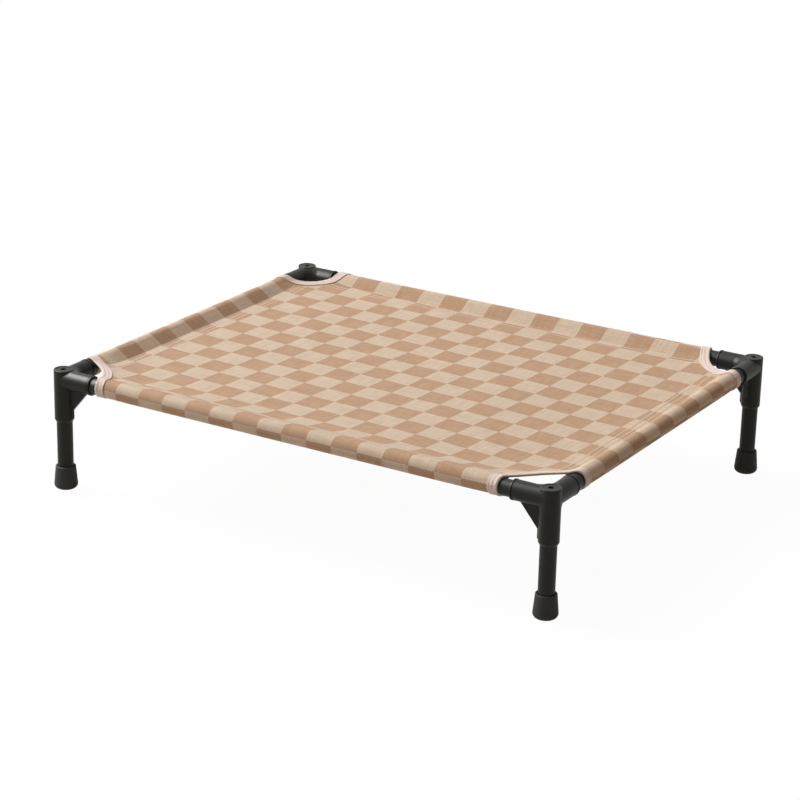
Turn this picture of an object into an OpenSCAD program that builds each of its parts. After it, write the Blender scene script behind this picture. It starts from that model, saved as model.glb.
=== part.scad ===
// Raised dog cot: a woven sling stretched on a knock-down frame of steel tube.
// Millimetres, +Z up. The origin is on the floor under the middle of the cot, and X runs along its length.

/* [Overall] */
// Distance between the leg axes along the length
leg_span_x = 869; // [600:1:1200]
// Distance between the leg axes along the width
leg_span_y = 689; // [460:1:900]
// Height from the floor to the top of the corner connectors
cot_h = 200; // [180:1:320]

/* [Tube] */
// Outside diameter of the rails and legs
tube_d = 25.4; // [22:0.1:30]
// Wall of the tube
tube_wall = 1.2; // [0.8:0.1:2]

/* [Corner connector] */
// Gap all round between a tube and its socket
socket_gap = 0.15; // [0.1:0.05:0.4]
// Wall of the leg sleeve
sleeve_wall = 2.65; // [2.2:0.05:4]
// Length of the leg sleeve, from the top face down
sleeve_len = 86; // [76:1:110]
// Height of the taper at the sleeve's lower rim
sleeve_rim_h = 3.5; // [2:0.5:8]
// Width of the taper at the sleeve's lower rim
sleeve_rim_w = 1.9; // [1:0.1:2.1]
// Wall of the rail arms
arm_wall = 2.45; // [2:0.05:4]
// Reach of each arm from the leg axis
arm_reach = 60; // [52:1:70]
// Height of the raised lip round the arm's end
arm_lip = 0.6; // [0.3:0.1:1.5]
// Width of the raised lip
arm_lip_w = 3.6; // [2.5:0.1:6]
// Rounding of the lip's edge
arm_lip_r = 1.8; // [0.8:0.1:1.9]
// Depth of the groove behind the lip
arm_groove = 0.8; // [0.3:0.1:1.2]
// Width of the groove behind the lip
arm_groove_w = 1.2; // [0.6:0.1:2]
// Height of the top boss above the arms
boss_rise = 1.2; // [0.6:0.1:4]
// Rounding of the boss's rim
boss_rim_r = 1.2; // [0.4:0.1:1.5]
// Width of the flat rim round the dished top
boss_rim_w = 3; // [2:0.5:5]
// Depth of the dished top
boss_dish = 0.6; // [0.3:0.1:1]
// Distance of the line round the boss below its top
boss_line_in = 3.4; // [2:0.1:6]
// Depth and width of the line round the boss
boss_line = 0.5; // [0.3:0.1:1]
// Wall between the leg socket and each rail socket
stop_wall = 5.6; // [4:0.1:8]
// Bend radius of the rounded blend between the arms
elbow_bend = 33; // [24:1:40]
// Step from the arms down to the blend's surface
elbow_step = 0.35; // [0.2:0.05:0.6]
// Thickness of the gusset webs
web_t = 5.6; // [4:0.1:8]
// Reach of the gusset webs under the long rails' arms, from the leg axis
web_reach = 47; // [40:1:50]
// Reach of the gusset webs under the short rails' arms
web_reach_short = 33; // [28:1:50]
// Depth of the webs' feet below the top face
web_drop = 66; // [54:1:72]
// Height of the rib that runs down the sleeve below each web
rib_h = 2.2; // [1.5:0.1:6]
// Length of the sloping end of the rib
rib_run = 2.5; // [1.5:0.5:8]

/* [Leg bolt] */
// Diameter of the bolt recess in the top boss
recess_d = 9; // [8.8:0.1:12]
// Depth of the bolt recess
recess_depth = 9; // [6:0.5:12]
// Thickness of the seat under the bolt head
bolt_seat = 5; // [3:0.5:8]
// Diameter of the bolt's head
bolt_head_d = 8.5; // [7:0.1:8.6]
// Height of the bolt's head
bolt_head_h = 5; // [3:0.5:5.5]
// Diameter of the bolt's shank
bolt_d = 5; // [4:0.1:6]
// Length of the bolt under its head
bolt_len = 25; // [18:1:32]
// Width of the hexagon socket across its flats
bolt_key = 4; // [3:0.5:4.5]
// Depth of the hexagon socket
bolt_key_depth = 2.5; // [1.5:0.5:3]
// Gap round the bolt's shank
bolt_gap = 0.2; // [0.1:0.05:0.4]
// Length of the threaded plug in the leg
plug_len = 34; // [28:1:45]
// Gap between the plug and the tube
plug_gap = 0.05; // [0.03:0.01:0.2]

/* [Foot] */
// Height of the rubber foot
foot_h = 38.5; // [28:0.5:48]
// Wall of the foot at its mouth
foot_wall = 3.3; // [2.5:0.1:6]
// Width by which the foot flares towards the floor
foot_flare = 2.8; // [1:0.1:5]
// Thickness of rubber under the leg
foot_floor = 5; // [3:0.5:8]
// Rounding of the foot's lower edge
foot_edge_r = 8; // [2:0.5:8.5]
// Bevel at the foot's mouth, inside and outside
foot_mouth = 1; // [0.5:0.1:1.2]
// Diameter of the hollow in the underside
foot_hollow_d = 14; // [8:1:16]
// Depth of the hollow in the underside
foot_hollow = 1; // [0.5:0.1:2]
// Gap between the foot and the leg
foot_gap = 0.1; // [0.05:0.05:0.2]

/* [Sling] */
// Thickness of the cloth
cloth_t = 1.2; // [0.8:0.1:2]
// Gap between a rail and the cloth round it
casing_gap = 0.25; // [0.2:0.05:0.6]
// Distance of the fold inside each rail's axis
fold_in = 25; // [21:1:34]
// Depth of the fold below the rail's axis
fold_drop = 2; // [0:0.5:6]
// Width of the double-stitched seam inside the fold
seam_w = 19; // [12:0.5:24]
// Gap between the seam's edge and the panel
seam_gap = 0.2; // [0.1:0.05:0.4]
// Sag of the panel at its middle
sag = 4; // [1:0.5:12]
// Radius of the corner cut-outs
cut_r = 110; // [102:1:118]
// Distance of each cut-out's centre outside the leg axes
cut_back = 32; // [28:1:36]

/* [Corner binding] */
// Width of the binding tape
tape_w = 16; // [10:1:20]
// Thickness of the binding tape
tape_t = 0.8; // [0.5:0.1:1.2]
// Gap between the tape and the cloth
tape_gap = 0.1; // [0.05:0.05:0.2]

/* [Hidden] */
$fn = 96;

// Corners and sides go round the cot in steps of a quarter turn, from the front left corner and the front
CORNERS = ["front_left", "front_right", "rear_right", "rear_left"];
SIDES = ["front", "right", "rear", "left"];
QUARTER = 90;

frame_black = [0.08, 0.08, 0.08];
plastic_black = [0.13, 0.13, 0.13];
rubber_black = [0.05, 0.05, 0.05];
cloth_tan = [0.80, 0.66, 0.52];
tape_cream = [0.86, 0.77, 0.69];
zinc_grey = [0.62, 0.64, 0.66];
plug_grey = [0.35, 0.35, 0.36];

// Cuts run past the faces that they open by this much
over = 1;

tube_r = tube_d / 2;
tube_bore_r = tube_r - tube_wall;
socket_r = tube_r + socket_gap;
sleeve_r = socket_r + sleeve_wall;
arm_r = socket_r + arm_wall;
sleeve_z = cot_h - sleeve_len;
rail_z = cot_h - boss_rise - arm_r;
leg_top_z = cot_h - recess_depth - bolt_seat;
bolt_seat_z = cot_h - recess_depth;
rail_stop = socket_r + stop_wall;
rib_out = sleeve_r + rib_h;
foot_top_r = tube_r + foot_gap + foot_wall;
foot_base_r = foot_top_r + foot_flare;
casing_in_r = tube_r + casing_gap;
casing_out_r = casing_in_r + cloth_t;
seam_in = fold_in + seam_w;
seam_z = rail_z - fold_drop;
panel_hx = leg_span_x / 2 - seam_in - seam_gap;
panel_hy = leg_span_y / 2 - seam_in - seam_gap;
// The grid of the sagging panel
panel_nx = 20;
panel_ny = 16;
// Steps of the arc in which the cloth goes round a rail
wrap_steps = 30;
// The corner bindings reach this far along the rails from the leg axes
tape_reach = cut_r + tape_w;

// Length of the span between the leg axes on a side: front and rear are long, right and left are short
function side_span(side) = side % 2 == 0 ? leg_span_x : leg_span_y;
// Distance from the middle of the cot to the axis of the rail on a side
function side_off(side) = side_span(side + 1) / 2;
// Angle at which a line from point p touches a circle about the origin, above (+1) or below (-1)
function touch(r, p, up) = atan2(p[1], p[0]) + up * acos(r / norm(p));
// The way round a rail from one tangent point to the other, for cloth that comes from top and goes to low
function wrap(r, top, low) = let (from = touch(r, top, 1), to = 360 + touch(r, low, -1)) [
    for (k = [0:wrap_steps])
        let (turn = from + (to - from) * k / wrap_steps) r * [cos(turn), sin(turn)]
];
// Depth of the panel's sag at a place
function sag_at(x, y) = sag * (1 - pow(x / panel_hx, 2)) * (1 - pow(y / panel_hy, 2));

// Sets its children from a corner's own frame, with the arms along +X and +Y, to one of the four corners
module at_corner(corner) {
    sx = corner == 0 || corner == 3 ? -1 : 1;
    sy = corner < 2 ? -1 : 1;
    translate([sx * leg_span_x / 2, sy * leg_span_y / 2, 0])
        rotate([0, 0, QUARTER * corner])
            children();
}

// Sets its children from a rail's own frame, along X with the cot towards +Y, to one of the four sides
module at_side(side) {
    rotate([0, 0, QUARTER * side])
        translate([0, -side_off(side), rail_z])
            children();
}

// Turns a revolved shape from +Z to lie along +X
module along_x() {
    rotate([0, QUARTER, 0])
        children();
}

module tube(len) {
    difference() {
        cylinder(r = tube_r, h = len);
        translate([0, 0, -over])
            cylinder(r = tube_bore_r, h = len + 2 * over);
    }
}

// Half section of a round bar with its far edge rounded
module bar_profile(r, len, round_r) {
    square([r - round_r, len]);
    square([r, len - round_r]);
    translate([r - round_r, len - round_r])
        circle(r = round_r);
}

module leg_sleeve() {
    rotate_extrude()
        difference() {
            translate([0, sleeve_z])
                bar_profile(sleeve_r, sleeve_len, boss_rim_r);
            polygon([
                [sleeve_r - sleeve_rim_w, sleeve_z],
                [sleeve_r, sleeve_z + sleeve_rim_h],
                [sleeve_r + over, sleeve_z + sleeve_rim_h],
                [sleeve_r + over, sleeve_z - over],
                [sleeve_r - sleeve_rim_w, sleeve_z - over]
            ]);
            translate([0, cot_h - boss_dish])
                square([sleeve_r - boss_rim_w, boss_dish + over]);
            translate([sleeve_r - boss_line, cot_h - boss_line_in - boss_line])
                square([boss_line + over, boss_line]);
        }
}

module rail_arm() {
    lip_start = arm_reach - arm_lip_w;
    translate([0, 0, rail_z])
        along_x()
            rotate_extrude()
                union() {
                    square([arm_r, lip_start - arm_groove_w]);
                    square([arm_r - arm_groove, lip_start]);
                    translate([0, lip_start])
                        bar_profile(arm_r + arm_lip, arm_lip_w, arm_lip_r);
                }
}

// The rounded inside of the corner, a quarter bend from one arm's axis to the other's
module elbow_blend() {
    translate([elbow_bend, elbow_bend, rail_z])
        rotate([0, 0, 2 * QUARTER])
            rotate_extrude(angle = QUARTER)
                translate([elbow_bend, 0])
                    circle(r = arm_r - elbow_step);
}

// The web under the arm along +X as far as its reach, with the rib that runs on down the sleeve
module gusset(reach) {
    rib_foot_z = sleeve_z + sleeve_rim_h;
    translate([0, web_t / 2, 0])
        rotate([QUARTER, 0, 0])
            linear_extrude(web_t)
                polygon([
                    [0, rib_foot_z],
                    [sleeve_r, rib_foot_z],
                    [rib_out, rib_foot_z + rib_run],
                    [rib_out, cot_h - web_drop],
                    [reach, rail_z - arm_r + elbow_step],
                    [reach, rail_z],
                    [0, rail_z]
                ]);
}

module connector_cuts() {
    translate([0, 0, sleeve_z - over])
        cylinder(r = socket_r, h = leg_top_z - sleeve_z + over);
    translate([0, 0, bolt_seat_z])
        cylinder(d = recess_d, h = recess_depth + over);
    translate([0, 0, leg_top_z - over])
        cylinder(r = bolt_d / 2 + bolt_gap, h = bolt_seat + 2 * over);
    for (turn = [0, QUARTER])
        rotate([0, 0, turn])
            translate([rail_stop, 0, rail_z])
                along_x()
                    cylinder(r = socket_r, h = arm_reach - rail_stop + over);
}

// The connector of a corner: its arm along +X is on a long rail at every other corner
module connector(corner) {
    long_turn = QUARTER * (corner % 2);
    color(plastic_black)
        difference() {
            union() {
                leg_sleeve();
                elbow_blend();
                for (turn = [0, QUARTER])
                    rotate([0, 0, turn])
                        rail_arm();
                rotate([0, 0, long_turn])
                    gusset(web_reach);
                rotate([0, 0, QUARTER - long_turn])
                    gusset(web_reach_short);
            }
            connector_cuts();
        }
}

module rail(side) {
    len = side_span(side) - 2 * (rail_stop + socket_gap);
    color(frame_black)
        translate([-len / 2, 0, 0])
            along_x()
                tube(len);
}

module leg() {
    color(frame_black)
        translate([0, 0, foot_floor])
            tube(leg_top_z - foot_floor);
}

module foot() {
    mouth_r = tube_r + foot_gap;
    color(rubber_black)
        rotate_extrude()
            difference() {
                union() {
                    square([foot_base_r - foot_edge_r, foot_edge_r]);
                    translate([foot_base_r - foot_edge_r, foot_edge_r])
                        intersection() {
                            circle(r = foot_edge_r);
                            translate([0, -foot_edge_r])
                                square(foot_edge_r);
                        }
                    polygon([
                        [0, foot_edge_r],
                        [foot_base_r, foot_edge_r],
                        [foot_top_r, foot_h - foot_mouth],
                        [foot_top_r - foot_mouth, foot_h],
                        [0, foot_h]
                    ]);
                }
                translate([0, foot_floor])
                    square([mouth_r, foot_h]);
                polygon([
                    [mouth_r - over, foot_h - foot_mouth - over],
                    [mouth_r + foot_mouth + over, foot_h + over],
                    [mouth_r - over, foot_h + over]
                ]);
                translate([0, -over])
                    square([foot_hollow_d / 2, foot_hollow + over]);
            }
}

module leg_bolt() {
    color(zinc_grey)
        difference() {
            translate([0, 0, bolt_seat_z]) {
                cylinder(d = bolt_head_d, h = bolt_head_h);
                translate([0, 0, -bolt_len])
                    cylinder(d = bolt_d, h = bolt_len + over);
            }
            translate([0, 0, bolt_seat_z + bolt_head_h - bolt_key_depth])
                cylinder(d = bolt_key / cos(30), h = bolt_key_depth + over, $fn = 6);
        }
}

module leg_plug() {
    color(plug_grey)
        translate([0, 0, leg_top_z - plug_len])
            difference() {
                cylinder(r = tube_bore_r - plug_gap, h = plug_len);
                translate([0, 0, -over])
                    cylinder(r = bolt_d / 2 + bolt_gap, h = plug_len + 2 * over);
            }
}

// Section of a casing's outside: round the rail, then down to the fold and the flat seam, grown by a margin
module casing_outside(margin) {
    r = casing_out_r + margin;
    half_t = cloth_t + margin;
    top = [fold_in, half_t - fold_drop];
    low = [fold_in, -half_t - fold_drop];
    polygon(concat(
        [top],
        wrap(r, top, low),
        [low, [seam_in, low[1]], [seam_in, top[1]]]
    ));
}

// Section of the space inside a casing, which closes at the fold
module casing_inside() {
    tip = [fold_in, -fold_drop];
    polygon(concat([tip], wrap(casing_in_r, tip, tip)));
}

// Stretches a casing's section along the rail from one place to another
module casing_run(from, to) {
    translate([from, 0, 0])
        rotate([QUARTER, 0, QUARTER])
            linear_extrude(to - from)
                children();
}

// The round cut-out that clears a corner connector, in the corner's own frame
module corner_cut(r) {
    translate([-cut_back, -cut_back, 0])
        cylinder(r = r, h = cot_h + over);
}

module casing(side) {
    half = side_span(side) / 2;
    color(cloth_tan)
        difference() {
            casing_run(-half, half)
                difference() {
                    casing_outside(0);
                    casing_inside();
                }
            for (end = [0, 1])
                mirror([end, 0, 0])
                    translate([-half, 0, -rail_z])
                        corner_cut(cut_r);
        }
}

// The panel's points, row by row along X, at a height above the seam's mid plane
function panel_points(z) = [
    for (j = [0:panel_ny], i = [0:panel_nx])
        let (x = panel_hx * (2 * i / panel_nx - 1), y = panel_hy * (2 * j / panel_ny - 1))
            [x, y, seam_z + z - sag_at(x, y)]
];

module panel_sheet() {
    row = panel_nx + 1;
    under = row * (panel_ny + 1);
    // Grid places round the rim, anticlockwise from the front left corner
    rim = concat(
        [for (i = [0:panel_nx - 1]) i],
        [for (j = [0:panel_ny - 1]) j * row + panel_nx],
        [for (i = [panel_nx:-1:1]) panel_ny * row + i],
        [for (j = [panel_ny:-1:1]) j * row]
    );
    cells = [for (j = [0:panel_ny - 1], i = [0:panel_nx - 1]) j * row + i];
    polyhedron(
        points = concat(panel_points(cloth_t), panel_points(0)),
        faces = concat(
            [for (c = cells) [c, c + row, c + 1]],
            [for (c = cells) [c + 1, c + row, c + row + 1]],
            [for (c = cells) [under + c, under + c + 1, under + c + row]],
            [for (c = cells) [under + c + 1, under + c + row + 1, under + c + row]],
            [for (k = [0:len(rim) - 1])
                let (a = rim[k], b = rim[(k + 1) % len(rim)]) [a, b, under + b]],
            [for (k = [0:len(rim) - 1])
                let (a = rim[k], b = rim[(k + 1) % len(rim)]) [a, under + b, under + a]]
        )
    );
}

module sling_panel() {
    color(cloth_tan)
        difference() {
            panel_sheet();
            for (corner = [0:3])
                at_corner(corner)
                    corner_cut(cut_r);
        }
}

// The cloth round a corner, in the corner's own frame: two casings and the panel, grown by a margin
module corner_cloth(margin) {
    tape_u = tape_reach - cut_back;
    sag_room = sag_at(leg_span_x / 2 - tape_u, leg_span_y / 2 - tape_u);
    for (flip = [0, 1])
        mirror([flip, -flip, 0])
            translate([0, 0, rail_z])
                casing_run(seam_in, tape_reach)
                    casing_outside(margin);
    translate([fold_in, fold_in, seam_z - margin - sag_room])
        cube([tape_reach - fold_in, tape_reach - fold_in, cloth_t + 2 * margin + sag_room]);
}

// Tape folded over the cut edge: outside the cloth for its width, and across the edge itself
module binding() {
    edge_r = cut_r - tape_gap;
    color(tape_cream)
        intersection() {
            difference() {
                corner_cloth(tape_gap + tape_t);
                difference() {
                    corner_cloth(tape_gap);
                    corner_cut(edge_r);
                }
                for (flip = [0, 1])
                    mirror([flip, -flip, 0])
                        translate([0, 0, rail_z])
                            casing_run(0, tape_reach + over)
                                casing_inside();
            }
            difference() {
                corner_cut(cut_r + tape_w);
                corner_cut(edge_r - tape_t);
            }
        }
}

for (i = [0:3]) {
    at_corner(i) connector(i);
    at_side(i) rail(i);
    at_corner(i) leg();
    at_corner(i) foot();
    at_corner(i) leg_bolt();  // leg_bolts
    at_corner(i) leg_plug();  // leg_plugs
    at_side(i) casing(i);
    at_corner(i) binding();
}
sling_panel();
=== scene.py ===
"""Looks of the raised dog cot: its sewn sling, corner bindings, stitches and finishes, in metres in the CAD frame."""

import math

import bpy
import numpy as np
from mathutils import Matrix, Vector


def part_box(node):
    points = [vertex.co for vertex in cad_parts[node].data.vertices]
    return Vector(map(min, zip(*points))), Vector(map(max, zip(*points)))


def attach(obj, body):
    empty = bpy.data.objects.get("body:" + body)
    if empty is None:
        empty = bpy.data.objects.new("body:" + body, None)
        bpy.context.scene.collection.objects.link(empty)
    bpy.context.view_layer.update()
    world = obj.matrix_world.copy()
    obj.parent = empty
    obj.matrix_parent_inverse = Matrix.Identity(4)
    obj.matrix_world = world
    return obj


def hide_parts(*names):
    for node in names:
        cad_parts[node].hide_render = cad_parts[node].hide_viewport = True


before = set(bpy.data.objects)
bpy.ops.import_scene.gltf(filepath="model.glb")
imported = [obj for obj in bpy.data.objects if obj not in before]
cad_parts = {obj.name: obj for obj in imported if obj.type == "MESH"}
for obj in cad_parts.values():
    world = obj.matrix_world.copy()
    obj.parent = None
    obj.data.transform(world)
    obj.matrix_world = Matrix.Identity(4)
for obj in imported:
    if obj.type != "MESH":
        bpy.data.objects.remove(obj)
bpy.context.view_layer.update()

MM = 0.001
CORNER_SIGNS = {"front_left": (-1, -1), "front_right": (1, -1), "rear_right": (1, 1), "rear_left": (-1, 1)}
SIDES = ("front", "right", "rear", "left")


def middle(node):
    """Centre of a CAD node's box."""
    low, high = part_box(node)
    return (low + high) / 2


# Places that the frame gives
LEG = middle("leg_rear_right")
RAIL_Z = middle("rail_front").z
WRAP_R = -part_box("casing_front")[0].y - LEG.y
PANEL_X, PANEL_Y, PANEL_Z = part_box("sling_panel")[1]
SEAM_IN = LEG.x - PANEL_X

# The cloth, as cut and sewn
CLOTH_T = 1.0 * MM
FOLD_IN = 25 * MM
SEAM_W = SEAM_IN - FOLD_IN
UNDER_DROP = 2.4 * MM
SAG = 4 * MM
CREASE_SOFT = 1.6 * MM

# The corner cut-outs: a round cut about a place beyond each leg. The cover sits a little to the left
CUT_R = 110 * MM
CUT_BACK = 32 * MM
UNDER_CUT = 11 * MM
CUT_SHIFT_LEFT = (-1.5 * MM, -4 * MM)
CUT_SHIFT_RIGHT = (3 * MM, 4 * MM)
# The taut cut edge hangs between the tops of two rails: how far its middle drops, and how far it lifts the panel
EDGE_DROP = {"front_left": 4 * MM, "front_right": 5.5 * MM, "rear_right": 11 * MM, "rear_left": 11 * MM}
LIFT_RUN = 30 * MM
LIFT_POWER = 1.3
LIFT_BLEND = 1.5 * MM
# Beside the front rail the cloth slopes gently, to this distance from the rail's axis. The slope starts within a short
# run from where it leaves the rail, and its join with the panel grows softer between two distances from the axis
GENTLE_RUN = 60 * MM
GENTLE_START = 4 * MM
GENTLE_BLEND = (0.3 * MM, 3 * MM)
GENTLE_SOFTEN = (20 * MM, 50 * MM)
# Its under layer follows it between these distances from the axis
UNDER_RISE = (14 * MM, 36 * MM)
# At the front left corner the cut edge hangs lower than the gentle slope, out to these distances from the cut
HANG = (-5 * MM, 50 * MM)
# Toward the right rail the panel dips, most at the seam, and less toward the rear: how deep, from which x, and the
# distances over which it comes in from the short rail's axis, from the long rails' and from the corner cuts
RIGHT_DIP = 6.5 * MM
DIP_START = 100 * MM
DIP_TURN = (12 * MM, 25 * MM)
DIP_FADE = (14 * MM, 90 * MM)
DIP_CUT = (0, 90 * MM)
# Beside the cut, the under layer leaves the rail and meets the top layer between these distances from the rail's axis
TUCK = (11 * MM, 19 * MM)
TUCK_RUN = 18 * MM
# Under each rail the binding ends at this distance inward from the rail's axis
TAPE_TUCK = 4 * MM

# The double-stitched seam
STITCH_ROWS = (SEAM_IN - 44.2 * MM, SEAM_IN - 35.2 * MM)
# On the front side, with its gentle slope, the rows are nearer the rail
NEAR_ROWS = (SEAM_W - 1.5 * MM, SEAM_W + 6 * MM)
RIDGE_H = 0.12 * MM
RIDGE_HALF_W = 2.2 * MM
# Small waves along the seam: their height and reach, and each one's length and phase
PUCKER_H = 0.22 * MM
PUCKER_RUN = 9 * MM
PUCKERS = ((11.3 * MM, 0.4), (17.9 * MM, 2.1), (7.1 * MM, 4.0))
# Long waves of the panel: their height, and each one's length along x and y and its phase
WAVE_H = 0.5 * MM
WAVES = ((0.23, 0.11, 0.6), (-0.13, 0.31, 2.9), (0.09, 0.17, 4.4))

# The corner bindings
TAPE_W = 15 * MM
TAPE_T = 0.35 * MM
TAPE_ROWS = (5.5 * MM, 11.2 * MM)

CHECK = 44.76 * MM
CHECK_ORIGIN = (72.3 * MM, 174.1 * MM)
CHECK_TURN_X = math.radians(-1.75)
CHECK_TURN_Y = math.radians(-2.58)
YARNS_PER_CHECK = 38
# On three casings the squares start afresh: a change of colour along the rail, the width of a square there, the flat
# distances out from the panel's edge where they start and where a row ends, the length of a row, and the first colour
CASING_CHECKS = {
    "front": (-322 * MM, 44.17 * MM, SEAM_W + 2 * MM, SEAM_W + 48.8 * MM, 48 * MM, 1),
    "right": (-206 * MM, 45.5 * MM, SEAM_W, SEAM_W + 52.8 * MM, CHECK, 0),
    "left": (-122 * MM, 44.55 * MM, SEAM_W, SEAM_W + 0.8 * MM, CHECK, 1),
}


# The shape of the cloth

def smooth_step(low, high, value):
    t = np.clip((value - low) / (high - low), 0, 1)
    return t * t * (3 - 2 * t)


def bell(value, centre, half_width):
    return np.exp(-(((value - centre) / half_width) ** 2))


def softened(values, steps):
    """Values along an even line, averaged by a bell of that many steps, with the ends kept."""
    reach = int(3 * steps)
    weights = bell(np.arange(-reach, reach + 1), 0, steps)
    padded = np.pad(values, reach, mode="reflect", reflect_type="odd")
    return np.convolve(padded, weights / weights.sum(), mode="valid")


def along(points):
    """Distance along a line of points, from its first."""
    return np.r_[0, np.cumsum(np.linalg.norm(np.diff(points, axis=0), axis=1))]


WRAP_STEP = 0.25 * MM
WRAP_POINTS = 120
FLAT_RUN = 40 * MM


def wrap_line():
    """The cloth's outer face in a section across a rail: flat distance outward from the panel's edge, distance inward
    from the rail's axis, and height above it."""
    top = np.array([FOLD_IN, PANEL_Z - RAIL_Z])
    low = top - [0, UNDER_DROP]

    def touch(point, up):
        return math.atan2(point[1], point[0]) + up * math.acos(WRAP_R / np.hypot(*point))

    turn = np.linspace(touch(top, 1), 2 * math.pi + touch(low, -1), WRAP_POINTS)
    line = np.vstack([
        [[SEAM_IN + FLAT_RUN, top[1]], top],
        WRAP_R * np.c_[np.cos(turn), np.sin(turn)],
        [low, [SEAM_IN + FLAT_RUN, low[1]]],
    ])
    run = along(line)
    even = np.arange(0, run[-1], WRAP_STEP)
    inward, height = (softened(np.interp(even, run, line[:, k]), CREASE_SOFT / WRAP_STEP) for k in (0, 1))
    return even - FLAT_RUN, inward, height


WRAP_S, WRAP_V, WRAP_H = wrap_line()
FLAP = WRAP_S[-1] - FLAT_RUN
TOP_S = WRAP_S[np.argmax(WRAP_H)]
FOLD_Z = WRAP_H[0]


def wrap(s):
    """Distance inward from the rail's axis and height above it, at a flat distance outward from the panel's edge."""
    inside = s < WRAP_S[0]
    return np.where(inside, SEAM_IN - s, np.interp(s, WRAP_S, WRAP_V)), np.interp(s, WRAP_S, WRAP_H)


def cut_back(x):
    """How far beyond the leg's axis the middle of a corner's round cut lies, along x and along y."""
    return tuple(CUT_BACK - np.where(x < 0, left, right) for left, right in zip(CUT_SHIFT_LEFT, CUT_SHIFT_RIGHT))


def past_cut(x, y):
    """Distance of a place in plan from the nearest corner cut-out."""
    back_x, back_y = cut_back(x)
    return np.hypot(LEG.x - np.abs(x) + back_x, LEG.y - np.abs(y) + back_y) - CUT_R


def cut_radius(s, v):
    """Radius of the round cut at a place on a flap: the under layer is cut back, out of sight above its binding."""
    return CUT_R + UNDER_CUT * np.where(s > FLAP / 2, smooth_step(TAPE_TUCK, TUCK[1], v), 0)


def slope_height(v):
    """Height over the rail's axis of the cloth's top layer, at a distance inward from it."""
    top = WRAP_S <= TOP_S
    return np.interp(v, WRAP_V[top][::-1], WRAP_H[top][::-1])


def gentle_lift(v, where):
    """How far the straight slope of the front side lies over the plain one, at a distance from the rail's axis."""
    turn = math.atan2(FOLD_Z, GENTLE_RUN) + math.acos(WRAP_R / math.hypot(FOLD_Z, GENTLE_RUN))
    touch = WRAP_R * math.cos(turn)
    over = (WRAP_R - v * math.cos(turn)) / math.sin(turn) - slope_height(v)
    blend = GENTLE_BLEND[0] + (GENTLE_BLEND[1] - GENTLE_BLEND[0]) * smooth_step(*GENTLE_SOFTEN, v)
    lift = blend * np.logaddexp(0, over / blend) * smooth_step(touch, touch + GENTLE_START, v)
    return np.where(where, lift, 0)


def right_dip(x, y, u, v):
    """How far the cloth lies lower toward the right rail, at distances from the axes of a short and a long rail."""
    depth = RIGHT_DIP * smooth_step(DIP_START, PANEL_X, x) * (1 - smooth_step(0, PANEL_Y, y))
    return -depth * smooth_step(*DIP_TURN, u) * smooth_step(*DIP_FADE, v) * smooth_step(*DIP_CUT, past_cut(x, y))


def corner_lift(x, y, change):
    """How far a corner's taut cut edge, which hangs from rail to rail, lifts the cloth beside it."""
    u, v = (np.maximum(half - np.abs(a), 0.1 * MM) for half, a in ((LEG.x, x), (LEG.y, y)))
    drop = np.zeros(np.shape(x))
    for corner, (sign_x, sign_y) in CORNER_SIGNS.items():
        drop = np.where((x * sign_x >= 0) & (y * sign_y >= 0), EDGE_DROP[corner], drop)
    plain = slope_height(u) + slope_height(v) - FOLD_Z + change
    hung = WRAP_R - drop * (1 - ((u - v) / (u + v)) ** 2)
    raised = LIFT_BLEND * np.logaddexp(0, (hung - plain) / LIFT_BLEND)
    return raised * np.exp(-(np.maximum(past_cut(x, y), 0) / LIFT_RUN) ** LIFT_POWER)


def tucked(z, s, v, top, near_cut):
    """Heights with the under layer drawn up round its rail and against the top layer, beside a corner cut."""
    wrapped = RAIL_Z - np.sqrt(np.maximum(WRAP_R ** 2 - v ** 2, 0))
    drawn = wrapped + (top - UNDER_DROP - wrapped) * smooth_step(*TUCK, v)
    return np.where((s > FLAP / 2) & (v > 0), z + near_cut * (drawn - z), z)


def puckers(run):
    """Small waves along a sewn line."""
    return PUCKER_H * sum(np.sin(2 * math.pi * run / length + phase) for length, phase in PUCKERS) / len(PUCKERS)


def seam_relief(s, gentle, run):
    """Height of the two sewn ridges and their puckers, at a flat distance from the panel's edge."""
    rows = [np.where(gentle, near, far) for near, far in zip(NEAR_ROWS, STITCH_ROWS)]
    ridges = sum(RIDGE_H * bell(s, at, RIDGE_HALF_W) for at in rows)
    return ridges + bell(s, sum(rows) / 2, PUCKER_RUN) * puckers(run)


def slack(x, y):
    """Long shallow waves of the stretched cloth."""
    return WAVE_H * sum(np.sin(2 * math.pi * (x / a + y / b) + c) for a, b, c in WAVES) / len(WAVES)


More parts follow.
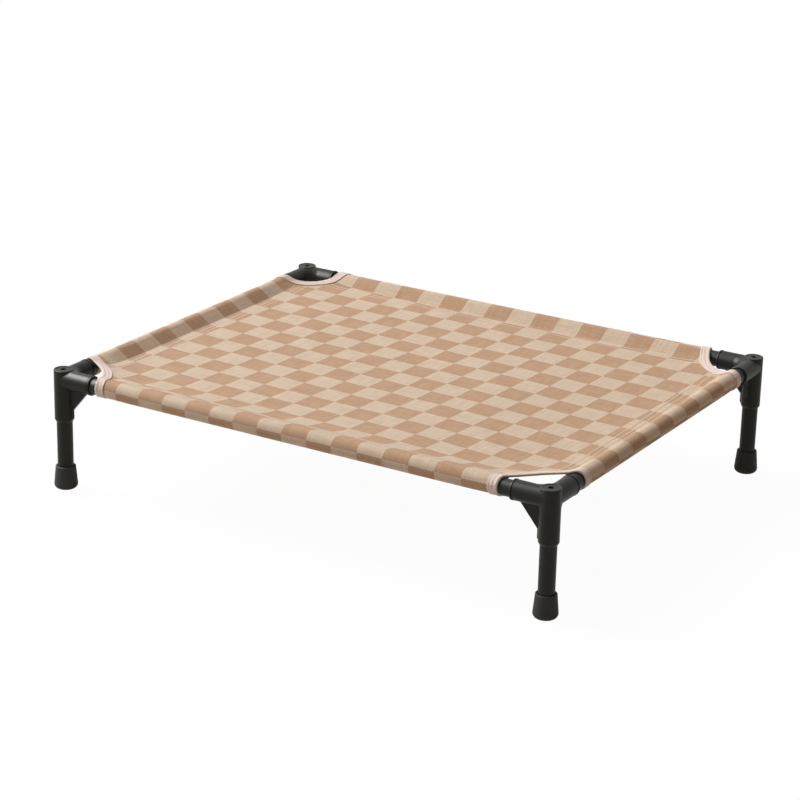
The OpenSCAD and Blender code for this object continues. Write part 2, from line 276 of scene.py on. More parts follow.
def cloth(p, q):
    """Points of the cloth's outer face, at places p and q on the flat cloth from its middle."""
    sx, sy = np.abs(p) - PANEL_X, np.abs(q) - PANEL_Y
    (vx, hx), (vy, hy) = wrap(sx), wrap(sy)
    x, y = np.sign(p) * (LEG.x - vx), np.sign(q) * (LEG.y - vy)
    bowl = np.clip(1 - (p / PANEL_X) ** 2, 0, 1) * np.clip(1 - (q / PANEL_Y) ** 2, 0, 1)
    free = (1 - smooth_step(SEAM_W, TOP_S, sx)) * (1 - smooth_step(SEAM_W, TOP_S, sy))
    sewn = seam_relief(sx, False, y) + seam_relief(sy, q < 0, x)
    hangs = np.where(x < 0, smooth_step(*HANG, past_cut(x, y)), 1)
    gentle, dip = gentle_lift(vy, q < 0) * hangs, right_dip(x, y, vx, vy)
    lift = corner_lift(x, y, gentle + dip)
    top = RAIL_Z + slope_height(vx) + slope_height(vy) - FOLD_Z + gentle + dip + lift
    lift = lift + dip + gentle * np.where(sy > FLAP / 2, smooth_step(*UNDER_RISE, vy), 1)
    near_cut = np.exp(-np.maximum(past_cut(x, y), 0) / TUCK_RUN)
    z = RAIL_Z + hx + hy - FOLD_Z - SAG * bowl + lift
    z = tucked(tucked(z, sx, vx, top, near_cut), sy, vy, top, near_cut)
    z = z + free * (sewn + slack(x, y) * np.sqrt(bowl))
    return np.stack([x, y, z], -1)


NORMAL_STEP = 0.4 * MM


def cloth_normal(p, q):
    """Directions out of the cloth's outer face."""
    across = cloth(p + NORMAL_STEP, q) - cloth(p - NORMAL_STEP, q)
    up = cloth(p, q + NORMAL_STEP) - cloth(p, q - NORMAL_STEP)
    normal = np.cross(across, up)
    return normal / np.linalg.norm(normal, axis=-1, keepdims=True)


def check_place(p, q):
    """Places on the flat cloth in squares of the check."""
    to_flat = CHECK * np.array([
        [math.cos(CHECK_TURN_X), math.sin(CHECK_TURN_Y)],
        [math.sin(CHECK_TURN_X), -math.cos(CHECK_TURN_Y)],
    ])
    squares = np.stack([p - CHECK_ORIGIN[0], q - CHECK_ORIGIN[1]], -1) @ np.linalg.inv(to_flat).T
    outward = {"front": (p, -q - PANEL_Y), "right": (q, p - PANEL_X), "left": (q, -p - PANEL_X)}
    for side, (change, width, start, row_end, length, first) in CASING_CHECKS.items():
        place, s = outward[side]
        casing = np.stack([(place - change) / width + first, (s - row_end) / length], -1)
        squares = np.where((s > start)[..., None], casing, squares)
    return squares


# Meshes

def make_piece(name, points, faces, uv_name=None, uvs=None):
    """A smooth mesh object from arrays of points and lists of faces."""
    mesh = bpy.data.meshes.new(name)
    mesh.from_pydata(points.reshape(-1, 3).tolist(), [], faces)
    if uvs is not None:
        corner = np.empty(len(mesh.loops), int)
        mesh.loops.foreach_get("vertex_index", corner)
        layer = mesh.uv_layers.new(name=uv_name)
        layer.uv.foreach_set("vector", uvs.reshape(-1, 2)[corner].astype(np.float32).ravel())
    mesh.polygons.foreach_set("use_smooth", [True] * len(mesh.polygons))
    mesh.validate()
    piece = bpy.data.objects.new(name, mesh)
    bpy.context.scene.collection.objects.link(piece)
    return piece


def thicken(piece, thickness):
    """Gives a sheet its thickness, behind its outer face."""
    solid = piece.modifiers.new("thickness", "SOLIDIFY")
    solid.thickness = thickness
    solid.offset = -1


GRID = 7 * MM
NEAR_SEAM = 20 * MM
# From this flat distance out, a place beside a corner cut is taken to be on a flap
SNAP_S = SEAM_W - 5 * MM
# Steps of the grid across a flap, from a little inside the panel: how far out each stretch ends, and its step
FLAP_STEPS = (
    (STITCH_ROWS[0] - 4 * MM, 2.4 * MM), (SEAM_W + 12 * MM, 1.0 * MM), (TOP_S, 2.4 * MM), (FLAP, 2.4 * MM),
)


def grid_lines(half):
    """Grid lines across the flat cloth, closer where it bends, for a panel of that half width."""
    outer, start = [], -NEAR_SEAM
    for stop, step in FLAP_STEPS:
        outer.append(np.linspace(start, stop, round((stop - start) / step) + 1)[:-1])
        start = stop
    outer = half + np.r_[np.concatenate(outer), FLAP]
    inner = np.linspace(-outer[0], outer[0], round(2 * outer[0] / GRID) + 1)
    return np.r_[-outer[::-1], inner[1:-1], outer]


def snapped(p, q):
    """Moves grid places beside a corner cut on to it, and says which places are kept."""
    sx, sy = np.abs(p) - PANEL_X, np.abs(q) - PANEL_Y
    half_p, half_q = np.gradient(p, axis=0) / 2, np.gradient(q, axis=1) / 2
    back_x, back_y = cut_back(p)
    u, v = wrap(sx)[0], wrap(sy)[0]
    radius = np.maximum(cut_radius(sx, u), cut_radius(sy, v))
    u, v = u + back_x, v + back_y
    edge_u, edge_v = (np.sqrt(np.maximum(radius ** 2 - a ** 2, 0)) for a in (v, u))
    out = np.hypot(u, v)
    # On a flap a place moves along its rail, and on the panel straight out from the middle of the cut
    on_y = sy > SNAP_S
    on_x = (sx > SNAP_S) & ~on_y
    past = np.where(on_y, u - edge_u, np.where(on_x, v - edge_v, out - radius))
    reach = np.where(on_y, half_p, np.where(on_x, half_q, (half_p * u + half_q * v) / out))
    moved = np.abs(past) < reach
    to_u, to_v = np.where(on_y, edge_u, u * radius / out), np.where(on_x, edge_v, v * radius / out)
    p = np.where(moved & ~on_x, np.sign(p) * (LEG.x + back_x - to_u), p)
    q = np.where(moved & ~on_y, np.sign(q) * (LEG.y + back_y - to_v), q)
    return p, q, past > -reach


def make_sling():
    """The whole cover as one sheet: the panel, its seams and the flaps round the rails."""
    p, q = np.meshgrid(grid_lines(PANEL_X), grid_lines(PANEL_Y), indexing="ij")
    p, q, kept = snapped(p, q)
    number = np.full(p.shape, -1)
    number[kept] = np.arange(kept.sum())
    cells = np.stack([number[:-1, :-1], number[1:, :-1], number[1:, 1:], number[:-1, 1:]], -1).reshape(-1, 4)
    faces = [[k for k in cell if k >= 0] for cell in cells.tolist()]
    faces = [face for face in faces if len(face) > 2]
    p, q = p[kept], q[kept]
    sling = make_piece("sling", cloth(p, q), faces, "checks", check_place(p, q))
    thicken(sling, CLOTH_T)
    flat = np.stack([p, q], -1)
    area = 0.0
    for face in faces:
        x, y = flat[face].T
        area += abs(np.dot(x, np.roll(y, -1)) - np.dot(y, np.roll(x, -1))) / 2
    return sling, area


CUT_STEP = 2.5 * MM
CUT_SOFT = 5 * MM
CUT_FLAP_STEP = 0.5 * MM
CUT_ARC_POINTS = 60


def cut_line(sign_x, sign_y):
    """The cut edge of a corner on the flat cloth, from one rail's flap to the other's, and its direction inward."""
    back_x, back_y = cut_back(sign_x)
    end = WRAP_S[(WRAP_S > FLAP / 2) & (WRAP_V > TAPE_TUCK)][0]
    out = np.arange(end, 0, -CUT_FLAP_STEP)
    inside = wrap(out)[0]
    first = np.c_[LEG.x + back_x - np.sqrt(CUT_R ** 2 - (inside + back_y) ** 2), PANEL_Y + out]
    first_turn, last_turn = math.asin((SEAM_IN + back_y) / CUT_R), math.acos((SEAM_IN + back_x) / CUT_R)
    turn = np.linspace(first_turn, last_turn, CUT_ARC_POINTS)
    arc = np.c_[LEG.x + back_x, LEG.y + back_y] - CUT_R * np.c_[np.cos(turn), np.sin(turn)]
    last = np.c_[PANEL_X + out, LEG.y + back_y - np.sqrt(CUT_R ** 2 - (inside + back_x) ** 2)][::-1]
    line = np.vstack([first, arc, last])
    run = along(line)
    even = np.linspace(0, run[-1], round(run[-1] / CUT_STEP) + 1)
    line = np.c_[[softened(np.interp(even, run, line[:, k]), CUT_SOFT / CUT_STEP) for k in (0, 1)]].T
    tangent = np.gradient(line, axis=0)
    inward = np.c_[-tangent[:, 1], tangent[:, 0]]
    inward *= np.sign((inward * -line).sum(1))[:, None]
    inward /= np.linalg.norm(inward, axis=1, keepdims=True)
    sign = np.array([sign_x, sign_y])
    return line * sign, inward * sign


# Section of a binding: distance in from the cut edge, and height over the cloth's outer face
TAPE_TOP = (
    (TAPE_W, 0.38 * MM), (TAPE_W - 0.3 * MM, 0.85 * MM), (TAPE_W - 1.5 * MM, 0.98 * MM), (12.7 * MM, 0.92 * MM),
    (TAPE_ROWS[1] + 0.8 * MM, 0.74 * MM), (TAPE_ROWS[1], 0.52 * MM), (TAPE_ROWS[1] - 0.8 * MM, 0.74 * MM),
    (9.6 * MM, 0.98 * MM), (8.4 * MM, 1.04 * MM), (7.1 * MM, 0.98 * MM),
    (TAPE_ROWS[0] + 0.8 * MM, 0.74 * MM), (TAPE_ROWS[0], 0.52 * MM), (TAPE_ROWS[0] - 0.8 * MM, 0.76 * MM),
    (3.2 * MM, 1.1 * MM), (1.6 * MM, 1.35 * MM), (0.3 * MM, 1.3 * MM), (-0.6 * MM, 0.85 * MM),
)
TAPE_EDGE = ((-1.0 * MM, -CLOTH_T / 2),)
TAPE_UNDER = tuple((w, -CLOTH_T - 0.36 * MM) for w in (-0.6 * MM, 0, 3 * MM, 6 * MM, 9 * MM, 12 * MM, TAPE_W))


def binding_points(line, inward, w, height):
    """Points of a binding at a distance in from the cut edge, at a height over the cloth."""
    p, q = (line + w * inward).T
    return cloth(p, q) + height * cloth_normal(p, q)


def make_binding(corner):
    """A tape folded over a corner's cut edge and round the ends of both flaps."""
    sign_x, sign_y = CORNER_SIGNS[corner]
    line, inward = cut_line(sign_x, sign_y)
    section = TAPE_TOP + TAPE_EDGE + TAPE_UNDER
    points = np.stack([binding_points(line, inward, w, h) for w, h in section], 1)
    rows, columns = points.shape[:2]
    number = np.arange(rows * columns).reshape(rows, columns)
    cells = np.stack([number[:-1, :-1], number[:-1, 1:], number[1:, 1:], number[1:, :-1]], -1).reshape(-1, 4)
    if sign_x * sign_y < 0:
        cells = cells[:, ::-1]
    across = along(np.array(section))
    uvs = np.stack(np.meshgrid(along(line), across, indexing="ij"), -1)
    binding = make_piece("binding_tape_" + corner, points, cells.tolist(), "tape", uvs)
    thicken(binding, TAPE_T)
    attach(binding, "root")
    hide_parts("binding_" + corner)
    return binding


# A stitch: shares of its length, with the thread's radius and rise there as shares of its radius
STITCH_SHAPE = np.array([(-0.5, 0.5, -0.7), (-0.4, 0.9, -0.1), (0, 1, 0.3), (0.4, 0.9, -0.1), (0.5, 0.5, -0.7)])
STITCH_SIDES = 6
STITCH_PITCH = 3.6 * MM
STITCH_LEN = 3.4 * MM
SEAM_THREAD_R = 0.9 * MM
TAPE_THREAD_R = 0.5 * MM
THREAD_FLAT = 0.22
SEAM_STEP = 2 * MM


def stitch_row(points, normals, thread_r):
    """Points of threads end to end along a line on the cloth: stitches, stations, sides, xyz."""
    run = along(points)
    centres = np.arange(STITCH_PITCH / 2, run[-1] - STITCH_PITCH / 2, STITCH_PITCH)
    stations = centres[:, None] + STITCH_LEN * STITCH_SHAPE[:, 0]
    place = np.stack([np.interp(stations, run, points[:, k]) for k in range(3)], -1)
    normal = np.stack([np.interp(stations, run, normals[:, k]) for k in range(3)], -1)
    tangent = np.gradient(place, axis=1)
    side = np.cross(tangent, normal)
    side /= np.linalg.norm(side, axis=-1, keepdims=True)
    angle = np.linspace(0, 2 * math.pi, STITCH_SIDES, endpoint=False)
    radius = thread_r * STITCH_SHAPE[:, 1][None, :, None, None]
    rise = THREAD_FLAT * thread_r * STITCH_SHAPE[:, 2][None, :, None]
    round_it = np.cos(angle)[:, None] * side[:, :, None] + THREAD_FLAT * np.sin(angle)[:, None] * normal[:, :, None]
    return (place + rise * normal)[:, :, None] + radius * round_it


def make_stitches(name, rows):
    """One piece of many stitches, from several rows."""
    points = np.concatenate(rows)
    count, stations, sides = points.shape[:3]
    number = np.arange(count * stations * sides).reshape(count, stations, sides)
    after = np.roll(number, -1, axis=2)
    walls = np.stack([number[:, :-1], after[:, :-1], after[:, 1:], number[:, 1:]], -1).reshape(-1, 4)
    caps = np.concatenate([number[:, 0, ::-1], number[:, -1]])
    stitches = make_piece(name, points, walls.tolist() + caps.tolist())
    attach(stitches, "root")
    return stitches


def seam_rows():
    """The double rows of stitches along the four seams, above and below."""
    rows = []
    for half, across_half, swap in ((PANEL_X, PANEL_Y, False), (PANEL_Y, PANEL_X, True)):
        for sign in (-1, 1):
            for s in NEAR_ROWS if sign < 0 and not swap else STITCH_ROWS:
                line = np.arange(-half, half, SEAM_STEP)
                for under in (False, True):
                    out = across_half + (FLAP - s if under else s)
                    places = (line, np.full_like(line, sign * out))
                    p, q = places[::-1] if swap else places
                    points = cloth(p, q)
                    clear = past_cut(points[:, 0], points[:, 1]) > TAPE_W + STITCH_PITCH
                    normal = cloth_normal(p, q)
                    points = points + SEAM_THREAD_R * THREAD_FLAT * normal / 2
                    rows.append(stitch_row(points[clear], normal[clear], SEAM_THREAD_R))
    return rows


TAPE_ROW_H = 0.55 * MM


def binding_rows(corner):
    """The two rows of stitches round a binding."""
    line, inward = cut_line(*CORNER_SIGNS[corner])
    rows = []
    for w in TAPE_ROWS:
        normal = cloth_normal(*(line + w * inward).T)
        rows.append(stitch_row(binding_points(line, inward, w, TAPE_ROW_H), normal, TAPE_THREAD_R))
    return rows


# Materials

class Shader:
    """A material's node tree, with short ways to add and join nodes."""

    def __init__(self, name, **sockets):
        self.material = bpy.data.materials.new(name)
        self.material.use_nodes = True
        self.nodes = self.material.node_tree.nodes
        self.links = self.material.node_tree.links
        self.principled = self.nodes["Principled BSDF"]
        for socket, value in sockets.items():
            self.principled.inputs[socket.replace("_", " ")].default_value = value

    def put(self, node, socket, value):
        if isinstance(value, bpy.types.NodeSocket):
            self.links.new(value, node.inputs[socket])
        else:
            node.inputs[socket].default_value = value

    def node(self, kind, output=0, settings=(), **sockets):
        """Adds a node and gives one of its outputs."""
        node = self.nodes.new("ShaderNode" + kind)
        for key, value in dict(settings).items():
            setattr(node, key, value)
        for socket, value in sockets.items():
            self.put(node, socket.replace("_", " "), value)
        return node.outputs[output]

    def math(self, operation, *values):
        node = self.nodes.new("ShaderNodeMath")
        node.operation = operation
        for k, value in enumerate(values):
            self.put(node, k, value)
        return node.outputs[0]

    def mix(self, factor, first, second, blend="MIX"):
        """Mixes two colours."""
        node = self.nodes.new("ShaderNodeMix")
        node.data_type, node.blend_type = "RGBA", blend
        self.put(node, 0, factor)
        self.put(node, 6, first)
        self.put(node, 7, second)
        return node.outputs[2]

    def blend(self, first, second, share):
        """A sum of two values, with that share of the first and the rest of the second."""
        return self.math("ADD", self.math("MULTIPLY", first, share), self.math("MULTIPLY", second, 1 - share))

    def position(self):
        """Places in the object's own metres."""
        return self.node("TexCoord", output=3)

    def uv_parts(self, uv_map):
        """The two parts of a place in a UV map."""
        parts = self.node("SeparateXYZ", Vector=self.node("UVMap", settings={"uv_map": uv_map})).node
        return parts.outputs[0], parts.outputs[1]

    def ramp(self, value, low, high):
        """Takes 0 to 1 on to a range."""
        return self.node("MapRange", Value=value, To_Min=low, To_Max=high)

    def noise(self, place, size, detail=2.0):
        """Noise of a size in metres, from 0 to 1."""
        return self.node("TexNoise", Vector=place, Scale=1 / size, Detail=detail)

    def bump(self, height, distance, strength=1.0, normal=None):
        node = self.nodes.new("ShaderNodeBump")
        self.put(node, "Height", height)
        node.inputs["Distance"].default_value = distance
        node.inputs["Strength"].default_value = strength
        if normal is not None:
            self.links.new(normal, node.inputs["Normal"])
        return node.outputs[0]

    def finish(self, **sockets):
        for socket, value in sockets.items():
            self.put(self.principled, socket.replace("_", " "), value)
        return self.material


def srgb(red, green, blue):
    """A colour as seen on a screen, from 0 to 255, as the linear colour that a shader takes."""
    parts = [c / 255 for c in (red, green, blue)]
    return [c / 12.92 if c <= 0.04045 else ((c + 0.055) / 1.055) ** 2.4 for c in parts] + [1.0]


WHITE = (1, 1, 1, 1)
LIGHT_YARN = srgb(227, 206, 181)
BROWN_YARN = srgb(194, 154, 120)
# The other yarn shows at every so many crossings, and by this share
CROSSING_EVERY = 4.0
CROSSING_SHARE = 0.55
# Thick and thin places in the yarns: how often in a square along and across each set, their strength and its offset
SLUBS = ((1.2, 11.0), (11.0, 1.2))
SLUB_STRENGTH, SLUB_OFFSET = 4.5, -0.75
# The colour by which the darkest yarns are dimmed, and how soon it is reached
DIM = (0.62, 0.54, 0.46, 1)
DIM_SHARE = 0.17


def weave_material():
    """Two-tone checked cloth: each square shows mostly one of the two yarns, with the other crossing it."""
    m = Shader("check_weave", Roughness=0.85, Specular_IOR_Level=0.1, Sheen_Weight=0.12, Sheen_Roughness=0.5)
    x, y = m.uv_parts("checks")
    square = m.math("PINGPONG", m.math("ADD", m.math("FLOOR", x), m.math("FLOOR", y)), 1.0)
    yarn_x, yarn_y = m.math("MULTIPLY", x, YARNS_PER_CHECK), m.math("MULTIPLY", y, YARNS_PER_CHECK)
    end, pick = m.math("FLOOR", yarn_x), m.math("FLOOR", yarn_y)
    crossing = m.math("LESS_THAN", m.math("FLOORED_MODULO", m.math("ADD", end, pick), CROSSING_EVERY), 0.5)
    shown = m.math("ABSOLUTE", m.math("SUBTRACT", square, m.math("MULTIPLY", crossing, CROSSING_SHARE)))
    colour = m.mix(shown, LIGHT_YARN, BROWN_YARN)
    # Each yarn is a little lighter or darker than its neighbours, and the dye is a little uneven
    streak_x = m.node("TexWhiteNoise", settings={"noise_dimensions": "1D"}, W=end)
    streak_y = m.node("TexWhiteNoise", settings={"noise_dimensions": "1D"}, W=m.math("ADD", pick, 0.5))
    position = m.position()
    blotch = m.noise(position, 60 * MM, 3.0)
    slubs = []
    for a, b in SLUBS:
        stretched = m.node("CombineXYZ", X=m.math("MULTIPLY", x, a), Y=m.math("MULTIPLY", y, b))
        slubs.append(m.node("TexNoise", Vector=stretched, Scale=1.0))
    slub = m.node("MapRange", Value=m.math("ADD", *slubs), From_Min=0.7, From_Max=1.3)
    slub = m.math("MULTIPLY_ADD", slub, SLUB_STRENGTH, SLUB_OFFSET)
    shade = m.math("ADD", m.math("ADD", streak_x, streak_y), m.math("ADD", blotch, slub))
    dim = m.mix(m.ramp(m.math("MULTIPLY", shade, DIM_SHARE), 0.0, 0.5), WHITE, DIM)
    tint = m.mix(1.0, colour, dim, "MULTIPLY")
    # Round yarns, which go over and under each other
    over = m.math("PINGPONG", m.math("ADD", end, pick), 1.0)
    round_x = m.math("SINE", m.math("MULTIPLY", m.math("FRACT", yarn_x), math.pi))
    round_y = m.math("SINE", m.math("MULTIPLY", m.math("FRACT", yarn_y), math.pi))
    high = m.node("Mix", Factor=over, A=round_x, B=round_y)
    fuzz = m.noise(position, 0.5 * MM, 3.0)
    height = m.math("ADD", high, m.math("MULTIPLY", fuzz, 0.4))
    return m.finish(Base_Color=tint, Normal=m.bump(height, 0.25 * MM, 0.6),
                    Roughness=m.ramp(fuzz, 0.78, 0.95))


# The tape's pale colour, and the deeper colour that is painted into its rib valleys as shade and that random patches
# also take
TAPE_PALE = srgb(234, 215, 202)
TAPE_RIB_SHADE_AND_PATCH = srgb(215, 190, 175)
RIB_PITCH = 1.1 * MM
TAPE_YARN_PITCH = 0.6 * MM


def tape_material():
    """Pale ribbed binding tape, whose rib valleys are coloured deeper as painted shade, with random patches of the
    same deeper colour.
    """
    m = Shader("ribbed_tape", Roughness=0.8, Specular_IOR_Level=0.25, Sheen_Weight=0.15, Sheen_Roughness=0.45)
    run, across = m.uv_parts("tape")
    ribs = m.math("SINE", m.math("MULTIPLY", run, 2 * math.pi / RIB_PITCH))
    threads = m.math("SINE", m.math("MULTIPLY", across, 2 * math.pi / TAPE_YARN_PITCH))
    position = m.position()
    fuzz = m.noise(position, 1.2 * MM, 3.0)
    patchy = m.noise(position, 18 * MM)
    # Painted shade: the rib valleys take the deeper colour for half of the mix, and random patches give the other half
    shade = m.blend(m.ramp(ribs, 0.5, 0.0), patchy, 0.5)
    height = m.math("ADD", ribs, m.math("ADD", m.math("MULTIPLY", threads, 0.35), fuzz))
    return m.finish(Base_Color=m.mix(shade, TAPE_PALE, TAPE_RIB_SHADE_AND_PATCH), Normal=m.bump(height, 0.12 * MM, 0.6),
                    Roughness=m.ramp(fuzz, 0.7, 0.92))


SEAM_THREAD = srgb(236, 216, 196), srgb(218, 196, 174)
TAPE_THREAD = srgb(190, 160, 134), srgb(150, 120, 96)


def thread_material(name, light, dark):
    """Twisted sewing thread."""
    m = Shader(name, Roughness=0.6, Specular_IOR_Level=0.35, Sheen_Weight=0.2, Sheen_Roughness=0.4)
    position = m.position()
    twist = m.node("TexWave", Vector=position, Scale=1 / (1.6 * MM), Distortion=1.5)
    return m.finish(Base_Color=m.mix(twist, light, dark), Normal=m.bump(twist, 0.08 * MM, 0.5),
                    Roughness=m.ramp(twist, 0.5, 0.72))


def worn(m, clean, edge, radius, strength):
    """A colour that is lighter along the edges, where handling has rubbed them."""
    geometry = m.nodes.new("ShaderNodeNewGeometry")
    rounded = m.node("Bevel", settings={"samples": 6}, Radius=radius)
    turn = m.node("VectorMath", output=1, settings={"operation": "DOT_PRODUCT"})
    m.put(turn.node, 0, geometry.outputs["Normal"])
    m.put(turn.node, 1, rounded)
    rub = m.math("MULTIPLY", m.math("SUBTRACT", 1.0, turn), strength)
    rub = m.math("MINIMUM", m.math("MAXIMUM", rub, 0.0), 1.0)
    return m.mix(rub, clean, edge), rounded


def plastic_material():
    """Black moulded plastic with a fine spark-eroded grain and faint flow marks."""
    m = Shader("moulded_plastic", Roughness=0.4, Specular_IOR_Level=0.125)
    position = m.position()
    grain = m.noise(position, 0.7 * MM, 3.0)
    flow = m.noise(position, 26 * MM, 2.0)
    base = m.mix(flow, srgb(39, 39, 34), srgb(45, 45, 40))
    colour, rounded = worn(m, base, srgb(62, 63, 60), 0.6 * MM, 3.0)
    return m.finish(Base_Color=colour, Normal=m.bump(grain, 0.06 * MM, 0.35, rounded),
                    Roughness=m.ramp(m.blend(grain, flow, 0.5), 0.35, 0.46))


def powder_material():
    """Black powder coat with its orange-peel skin."""
    m = Shader("powder_coat", Roughness=0.42, Specular_IOR_Level=0.13)
    position = m.position()
    peel = m.noise(position, 1.4 * MM, 2.0)
    dust = m.noise(position, 12 * MM, 4.0)
    colour, rounded = worn(m, m.mix(dust, srgb(41, 41, 38), srgb(48, 48, 45)), srgb(58, 58, 56), 0.4 * MM, 2.5)
    return m.finish(Base_Color=colour, Normal=m.bump(peel, 0.08 * MM, 0.4, rounded),
                    Roughness=m.ramp(m.blend(peel, dust, 0.6), 0.34, 0.52))


def rubber_material():
    """Matt black rubber, dusty and a little scuffed."""
    m = Shader("matt_rubber", Roughness=0.7, Specular_IOR_Level=0.18)
    position = m.position()
    pores = m.noise(position, 0.9 * MM, 4.0)
    scuff = m.noise(position, 7 * MM, 4.0)
    colour, rounded = worn(m, m.mix(scuff, srgb(53, 53, 51), srgb(63, 63, 61)), srgb(66, 65, 63), 0.8 * MM, 1.5)
    return m.finish(Base_Color=colour, Normal=m.bump(pores, 0.1 * MM, 0.4, rounded),
                    Roughness=m.ramp(scuff, 0.58, 0.82))


def zinc_material():
    """Zinc-plated steel, finely turned."""
    m = Shader("zinc_plate", Metallic=1.0, Roughness=0.35)
    position = m.position()
    turned = m.node("TexWave", settings={"wave_type": "RINGS", "rings_direction": "Z"}, Vector=position,
                    Scale=1 / (0.5 * MM), Distortion=2.0)
    spangle = m.noise(position, 1.5 * MM, 3.0)
    return m.finish(Base_Color=m.mix(spangle, srgb(150, 152, 155), srgb(190, 190, 188)),
                    Normal=m.bump(turned, 0.03 * MM, 0.3), Roughness=m.ramp(spangle, 0.26, 0.45))


def plug_material():
    """Dark moulded plug."""
    m = Shader("plug_plastic", Roughness=0.5, Specular_IOR_Level=0.35)
    position = m.position()
    grain = m.noise(position, 0.8 * MM, 3.0)
    return m.finish(Base_Color=m.mix(grain, srgb(88, 88, 90), srgb(100, 100, 101)),
                    Normal=m.bump(grain, 0.05 * MM, 0.4), Roughness=m.ramp(grain, 0.42, 0.6))


def dress(piece, material):
    """Gives a piece its material, in all its slots."""
    if not piece.material_slots:
        piece.data.materials.append(material)
    for slot in piece.material_slots:
        slot.material = material


# Build

def build_sling():
    sling, area = make_sling()
    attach(sling, "root")
    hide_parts("sling_panel", *["casing_" + side for side in SIDES])
    dress(sling, weave_material())
    bindings = [make_binding(corner) for corner in CORNER_SIGNS]
    tape = tape_material()
    for binding in bindings:
        dress(binding, tape)
    seams = make_stitches("seam_stitches", seam_rows())
    dress(seams, thread_material("pale_thread", *SEAM_THREAD))
    edges = make_stitches("binding_stitches", [row for corner in CORNER_SIGNS for row in binding_rows(corner)])
    dress(edges, thread_material("tan_thread", *TAPE_THREAD))


def dress_frame():
    finishes = {
        "connector": plastic_material(), "rail": powder_material(), "foot": rubber_material(),
        "leg_bolts": zinc_material(), "leg_plugs": plug_material(),
    }
    finishes["leg"] = finishes["rail"]
    for name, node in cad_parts.items():
        finish = finishes.get(name) or finishes.get(name.split("_")[0])
        if finish:
            dress(node, finish)


# Stage, light and camera

FLOOR_HALF = 14.0
AMBIENT = 0.20
AMBIENT_COLOUR = (1.0, 0.78, 0.6, 1)
# Lamps: azimuth and elevation in degrees, distance and size in metres, power in watts and colour
KEY = (-88, 46, 12, (7.0, 9.0), 2130, (0.902, 0.948, 1.0))
GLOSS = (-67, 40, 1.96, (1.4, 1.0), 130, (1.0, 0.99, 0.98))
# The floor's colour for bounced light and for the eye, and how far it glows white for the eye
FLOOR_BOUNCE = (0.66, 0.62, 0.60, 1)
FLOOR_SEEN = (0.98, 0.98, 0.98, 1)
FLOOR_WHITE = 0.97


def seen_directly(tree):
    """1 for rays from the camera, and for mirrored and refracted ones."""
    path = tree.nodes.new("ShaderNodeLightPath")
    total = path.outputs["Is Camera Ray"]
    for ray in ("Is Glossy Ray", "Is Transmission Ray"):
        add = tree.nodes.new("ShaderNodeMath")
        add.use_clamp = True
        tree.links.new(total, add.inputs[0])
        tree.links.new(path.outputs[ray], add.inputs[1])
        total = add.outputs[0]
    return total


def mixed(tree, factor, first, second):
    node = tree.nodes.new("ShaderNodeMixShader")
    if isinstance(factor, bpy.types.NodeSocket):
        tree.links.new(factor, node.inputs[0])
    else:
        node.inputs[0].default_value = factor
    tree.links.new(first.outputs[0], node.inputs[1])
    tree.links.new(second.outputs[0], node.inputs[2])
    return node


def make_floor():
    """A pale floor that looks white but for a faint shadow, and throws back a plain amount of light."""
    corners = np.array([(-1, -1, 0), (1, -1, 0), (1, 1, 0), (-1, 1, 0)]) * FLOOR_HALF
    floor = make_piece("floor", corners, [[0, 1, 2, 3]])
    material = bpy.data.materials.new("studio_floor")
    material.use_nodes = True
    tree = material.node_tree
    tree.nodes.clear()

    def diffuse(colour):
        node = tree.nodes.new("ShaderNodeBsdfDiffuse")
        node.inputs["Color"].default_value = colour
        return node

    glow = tree.nodes.new("ShaderNodeEmission")
    glow.inputs["Color"].default_value = WHITE
    seen = mixed(tree, FLOOR_WHITE, diffuse(FLOOR_SEEN), glow)
    surface = mixed(tree, seen_directly(tree), diffuse(FLOOR_BOUNCE), seen)
    output = tree.nodes.new("ShaderNodeOutputMaterial")
    tree.links.new(surface.outputs[0], output.inputs[0])
    dress(floor, material)


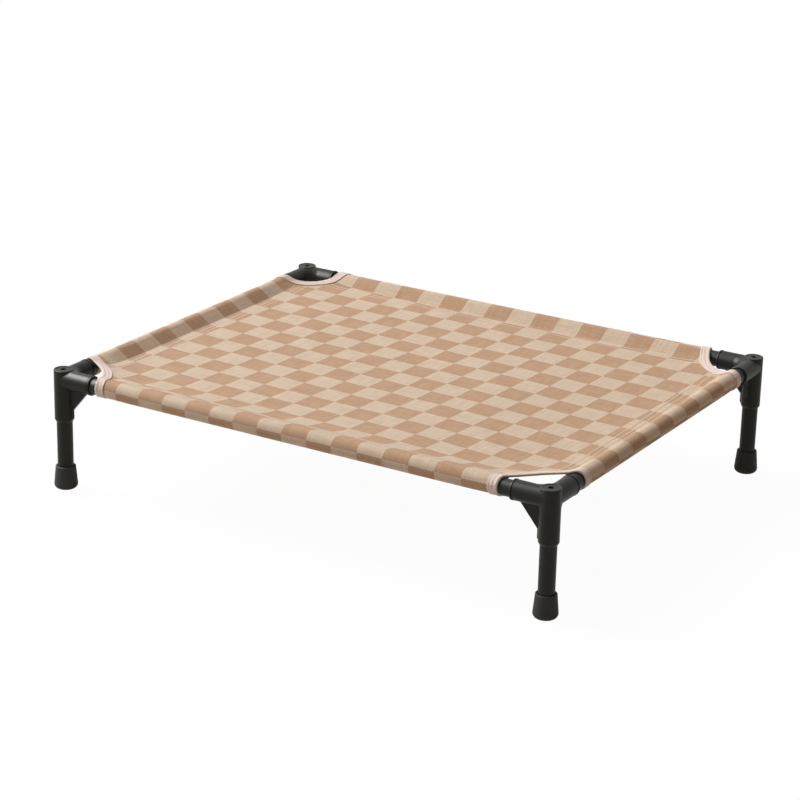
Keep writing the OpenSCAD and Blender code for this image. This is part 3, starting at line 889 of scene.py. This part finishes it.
def make_world():
    """Even light from all round, which looks white where it is seen."""
    world = bpy.data.worlds.new("studio")
    bpy.context.scene.world = world
    world.use_nodes = True
    tree = world.node_tree
    tree.nodes.clear()
    lights = tree.nodes.new("ShaderNodeBackground")
    lights.inputs["Color"].default_value = AMBIENT_COLOUR
    lights.inputs["Strength"].default_value = AMBIENT
    white = tree.nodes.new("ShaderNodeBackground")
    white.inputs["Color"].default_value = WHITE
    output = tree.nodes.new("ShaderNodeOutputWorld")
    surface = mixed(tree, seen_directly(tree), lights, white)
    tree.links.new(surface.outputs[0], output.inputs[0])


def toward(azimuth, elevation):
    """Direction from the cot to a place that looks at it from those angles, in degrees."""
    a, e = math.radians(azimuth), math.radians(elevation)
    return Vector((math.sin(a) * math.cos(e), -math.cos(a) * math.cos(e), math.sin(e)))


def make_lamp(name, azimuth, elevation, distance, size, power, colour):
    """A soft box that faces the cot."""
    back = toward(azimuth, elevation)
    data = bpy.data.lights.new(name, "AREA")
    data.shape = "RECTANGLE"
    data.size, data.size_y = size
    data.energy = power
    data.color = colour
    lamp = bpy.data.objects.new(name, data)
    lamp.location = Vector((0, 0, RAIL_Z)) + back * distance
    lamp.rotation_mode = "QUATERNION"
    lamp.rotation_quaternion = back.to_track_quat("Z", "Y")
    bpy.context.scene.collection.objects.link(lamp)
    return lamp


# The camera stands where the photographer's did
CAMERA_AZIMUTH = 31.218
CAMERA_ELEVATION = 19.92
CAMERA_ROLL = 1.356
CAMERA_DISTANCE = 4.1144
CAMERA_TARGET = Vector((-0.0698, 0.0740, 0.1))
CAMERA_LENS = 112.53
SENSOR = 36


def make_camera():
    back, roll = toward(CAMERA_AZIMUTH, CAMERA_ELEVATION), math.radians(CAMERA_ROLL)
    right = Vector((0, 0, 1)).cross(back).normalized()
    up = back.cross(right)
    rolled_right = right * math.cos(roll) + up * math.sin(roll)
    rolled_up = up * math.cos(roll) - right * math.sin(roll)
    data = bpy.data.cameras.new("camera")
    data.sensor_width = SENSOR
    data.lens = CAMERA_LENS
    camera = bpy.data.objects.new("camera", data)
    turn = Matrix((rolled_right, rolled_up, back)).transposed()
    camera.matrix_world = Matrix.Translation(CAMERA_TARGET + back * CAMERA_DISTANCE) @ turn.to_4x4()
    bpy.context.scene.collection.objects.link(camera)
    bpy.context.scene.camera = camera


build_sling()
dress_frame()
make_floor()
make_world()
make_lamp("key", *KEY)
make_lamp("gloss", *GLOSS).visible_diffuse = False
make_camera()
bpy.context.scene.view_settings.view_transform = "Standard"
